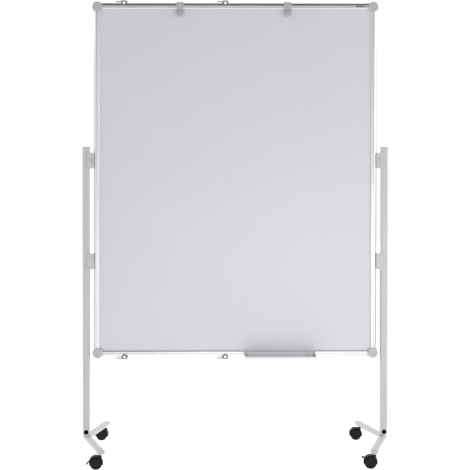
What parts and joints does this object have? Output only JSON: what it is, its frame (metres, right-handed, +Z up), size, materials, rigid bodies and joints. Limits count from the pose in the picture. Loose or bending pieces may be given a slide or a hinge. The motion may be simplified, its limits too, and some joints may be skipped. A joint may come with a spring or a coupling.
{
  "type": "rolling whiteboard",
  "caption": "Portrait magnetic whiteboard in an aluminium frame, held between two tube side stands on swivelling twin-wheel casters, with a pen tray, pad hooks and clips.",
  "frame": {"origin": "on the floor, at the centre of the object's footprint", "axes": "+X to the right, +Y to the back (the writing side faces -Y), +Z up"},
  "size_m": [1.3096, 0.5168, 1.94],
  "materials": {
    "writing_surface": "smooth satin enamel",
    "core_board": "raw fibreboard",
    "rear_sheet": "plain coated sheet",
    "anodised_rail": "fine brushed, anodised",
    "corner_plastic": "fine grain moulded",
    "badge": "brushed plate",
    "powder_coat": "fine powder coat",
    "cap_plastic": "moulded grey",
    "zinc_steel": "zinc plated",
    "black_bolt": "black cap over steel",
    "caster_plastic": "moulded nylon",
    "tyre_rubber": "moulded hub and soft tread",
    "hook_plastic": "moulded grey",
    "clip_plastic": "moulded grey",
    "tray_plastic": "coated tray"
  },
  "bodies": {
    "board_and_stands": {"badge_plate": "badge", "board_bolts": "zinc_steel", "board_lugs": "zinc_steel", "caster_stems": "zinc_steel", "corner_cap_bottom_left": "corner_plastic", "corner_cap_bottom_right": "corner_plastic", "corner_cap_top_left": "corner_plastic", "corner_cap_top_right": "corner_plastic", "foot_arm_front_left": "powder_coat", "foot_arm_front_right": "powder_coat", "foot_arm_rear_left": "powder_coat", "foot_arm_rear_right": "powder_coat", "foot_column_left": "powder_coat", "foot_column_right": "powder_coat", "foot_end_plugs": "cap_plastic", "frame_screws": "zinc_steel", "lower_hanger_left": "powder_coat", "lower_hanger_right": "powder_coat", "panel_core": "core_board", "post_bolts": "black_bolt", "post_left": "powder_coat", "post_right": "powder_coat", "rail_bottom": "anodised_rail", "rail_left": "anodised_rail", "rail_right": "anodised_rail", "rail_top": "anodised_rail", "rear_sheet": "rear_sheet", "tube_caps": "cap_plastic", "upper_hanger_left": "powder_coat", "upper_hanger_right": "powder_coat", "writing_sheet": "writing_surface"},
    "swivel_front_left": {"caster_hood_front_left": "caster_plastic", "caster_axle_front_left": "zinc_steel"},
    "wheel_near_front_left": {"wheel_near_front_left": "tyre_rubber"},
    "wheel_far_front_left": {"wheel_far_front_left": "tyre_rubber"},
    "pedal_left": {"brake_pedal_left": "caster_plastic"},
    "swivel_front_right": {"caster_hood_front_right": "caster_plastic", "caster_axle_front_right": "zinc_steel"},
    "wheel_near_front_right": {"wheel_near_front_right": "tyre_rubber"},
    "wheel_far_front_right": {"wheel_far_front_right": "tyre_rubber"},
    "pedal_right": {"brake_pedal_right": "caster_plastic"},
    "swivel_rear_left": {"caster_hood_rear_left": "caster_plastic", "caster_axle_rear_left": "zinc_steel"},
    "wheel_near_rear_left": {"wheel_near_rear_left": "tyre_rubber"},
    "wheel_far_rear_left": {"wheel_far_rear_left": "tyre_rubber"},
    "swivel_rear_right": {"caster_hood_rear_right": "caster_plastic", "caster_axle_rear_right": "zinc_steel"},
    "wheel_near_rear_right": {"wheel_near_rear_right": "tyre_rubber"},
    "wheel_far_rear_right": {"wheel_far_rear_right": "tyre_rubber"},
    "hook_left": {"paper_hook_left": "hook_plastic"},
    "hook_right": {"paper_hook_right": "hook_plastic"},
    "clip_top_outer": {"clip_body_top_outer": "clip_plastic"},
    "lever_top_outer": {"clip_lever_top_outer": "clip_plastic"},
    "clip_top_inner": {"clip_body_top_inner": "clip_plastic"},
    "lever_top_inner": {"clip_lever_top_inner": "clip_plastic"},
    "clip_bottom_outer": {"clip_body_bottom_outer": "clip_plastic"},
    "lever_bottom_outer": {"clip_lever_bottom_outer": "clip_plastic"},
    "clip_bottom_inner": {"clip_body_bottom_inner": "clip_plastic"},
    "lever_bottom_inner": {"clip_lever_bottom_inner": "clip_plastic"},
    "tray": {"pen_tray": "tray_plastic"}
  },
  "joints": [
    {"name": "swivel_front_left", "type": "hinge", "parent": "board_and_stands", "child": "swivel_front_left", "pos_m": [-0.56058, -0.236, 0.05], "axis": [0, 0, 1], "continuous": true},
    {"name": "roll_near_front_left", "type": "hinge", "parent": "swivel_front_left", "child": "wheel_near_front_left", "pos_m": [-0.57751, -0.23748, 0.025], "axis": [0.0872, -0.9962, 0], "continuous": true},
    {"name": "roll_far_front_left", "type": "hinge", "parent": "swivel_front_left", "child": "wheel_far_front_left", "pos_m": [-0.57751, -0.23748, 0.025], "axis": [0.0872, -0.9962, 0], "continuous": true},
    {"name": "brake_left", "type": "hinge", "parent": "swivel_front_left", "child": "pedal_left", "pos_m": [-0.59345, -0.23888, 0.0283], "axis": [0.0872, -0.9962, 0], "range_deg": [-60, 0]},
    {"name": "swivel_front_right", "type": "hinge", "parent": "board_and_stands", "child": "swivel_front_right", "pos_m": [0.56058, -0.236, 0.05], "axis": [0, 0, 1], "continuous": true},
    {"name": "roll_near_front_right", "type": "hinge", "parent": "swivel_front_right", "child": "wheel_near_front_right", "pos_m": [0.54379, -0.23334, 0.025], "axis": [-0.1564, -0.9877, 0], "continuous": true},
    {"name": "roll_far_front_right", "type": "hinge", "parent": "swivel_front_right", "child": "wheel_far_front_right", "pos_m": [0.54379, -0.23334, 0.025], "axis": [-0.1564, -0.9877, 0], "continuous": true},
    {"name": "brake_right", "type": "hinge", "parent": "swivel_front_right", "child": "pedal_right", "pos_m": [0.52798, -0.23084, 0.0283], "axis": [-0.1564, -0.9877, 0], "range_deg": [0, 60]},
    {"name": "swivel_rear_left", "type": "hinge", "parent": "board_and_stands", "child": "swivel_rear_left", "pos_m": [-0.57494, 0.236, 0.05], "axis": [0, 0, 1], "continuous": true},
    {"name": "roll_near_rear_left", "type": "hinge", "parent": "swivel_rear_left", "child": "wheel_near_rear_left", "pos_m": [-0.59187, 0.23748, 0.025], "axis": [-0.0872, -0.9962, 0], "continuous": true},
    {"name": "roll_far_rear_left", "type": "hinge", "parent": "swivel_rear_left", "child": "wheel_far_rear_left", "pos_m": [-0.59187, 0.23748, 0.025], "axis": [-0.0872, -0.9962, 0], "continuous": true},
    {"name": "swivel_rear_right", "type": "hinge", "parent": "board_and_stands", "child": "swivel_rear_right", "pos_m": [0.57494, 0.236, 0.05], "axis": [0, 0, 1], "continuous": true},
    {"name": "roll_near_rear_right", "type": "hinge", "parent": "swivel_rear_right", "child": "wheel_near_rear_right", "pos_m": [0.558, 0.23748, 0.025], "axis": [-0.0872, -0.9962, 0], "continuous": true},
    {"name": "roll_far_rear_right", "type": "hinge", "parent": "swivel_rear_right", "child": "wheel_far_rear_right", "pos_m": [0.558, 0.23748, 0.025], "axis": [-0.0872, -0.9962, 0], "continuous": true},
    {"name": "hook_slide_left", "type": "slide", "parent": "board_and_stands", "child": "hook_left", "axis": [1, 0, 0], "range_m": [-0.11, 0.06]},
    {"name": "hook_slide_right", "type": "slide", "parent": "board_and_stands", "child": "hook_right", "axis": [1, 0, 0], "range_m": [-0.07, 0.2]},
    {"name": "clip_slide_top_outer", "type": "slide", "parent": "board_and_stands", "child": "clip_top_outer", "axis": [1, 0, 0], "range_m": [-0.04, 0.06]},
    {"name": "clip_lever_top_outer", "type": "hinge", "parent": "clip_top_outer", "child": "lever_top_outer", "pos_m": [-0.482, -0.016, 1.937], "axis": [0, 1, 0], "range_deg": [0, 90]},
    {"name": "clip_slide_top_inner", "type": "slide", "parent": "board_and_stands", "child": "clip_top_inner", "axis": [1, 0, 0], "range_m": [-0.06, 0.15]},
    {"name": "clip_lever_top_inner", "type": "hinge", "parent": "clip_top_inner", "child": "lever_top_inner", "pos_m": [-0.051, -0.016, 1.937], "axis": [0, 1, 0], "range_deg": [0, 90]},
    {"name": "clip_slide_bottom_outer", "type": "slide", "parent": "board_and_stands", "child": "clip_bottom_outer", "axis": [1, 0, 0], "range_m": [-0.04, 0.06]},
    {"name": "clip_lever_bottom_outer", "type": "hinge", "parent": "clip_bottom_outer", "child": "lever_bottom_outer", "pos_m": [-0.482, -0.016, 0.413], "axis": [0, -1, 0], "range_deg": [0, 90]},
    {"name": "clip_slide_bottom_inner", "type": "slide", "parent": "board_and_stands", "child": "clip_bottom_inner", "axis": [1, 0, 0], "range_m": [-0.06, 0.03]},
    {"name": "clip_lever_bottom_inner", "type": "hinge", "parent": "clip_bottom_inner", "child": "lever_bottom_inner", "pos_m": [-0.051, -0.016, 0.413], "axis": [0, -1, 0], "range_deg": [0, 90]},
    {"name": "tray_slide", "type": "slide", "parent": "board_and_stands", "child": "tray", "axis": [1, 0, 0], "range_m": [-0.03, 0.22]}
  ]
}
